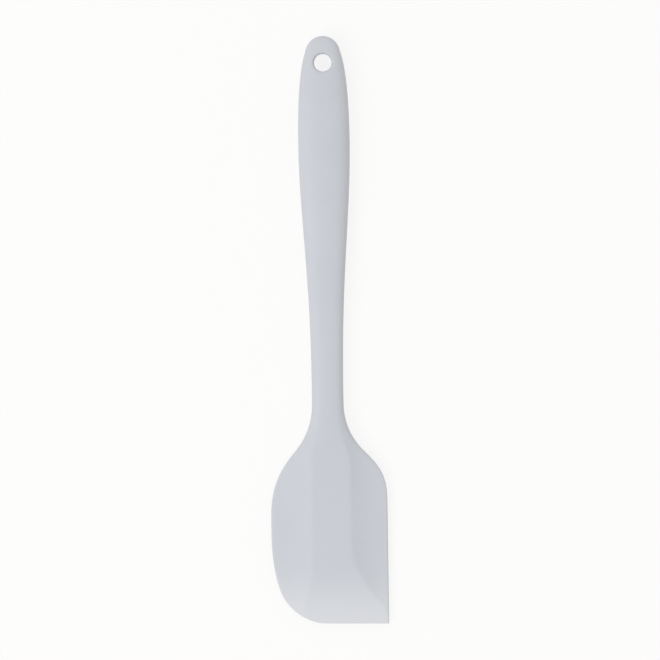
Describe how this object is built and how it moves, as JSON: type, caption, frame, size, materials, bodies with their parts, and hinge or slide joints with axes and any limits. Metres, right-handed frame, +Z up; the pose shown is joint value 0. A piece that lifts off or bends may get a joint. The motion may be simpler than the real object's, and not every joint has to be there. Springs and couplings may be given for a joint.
{
  "type": "silicone spatula",
  "caption": "Spatula of silicone moulded over a stiff core: oval handle with a hanging hole, slim neck, flat blade with hollow bevels, a rounded corner and a square corner.",
  "frame": {"origin": "on the table under the middle of the spatula's bounding box, with the spatula lying on its back", "axes": "+X across the blade towards its square corner, +Y along the spatula towards the hanging hole, +Z up out of the front face"},
  "size_m": [0.0556, 0.2804, 0.014],
  "materials": {
    "silicone": "satin",
    "core": "matte"
  },
  "bodies": {
    "root": {"silicone_overmould": "silicone", "nylon_core": "core"}
  },
  "joints": []
}
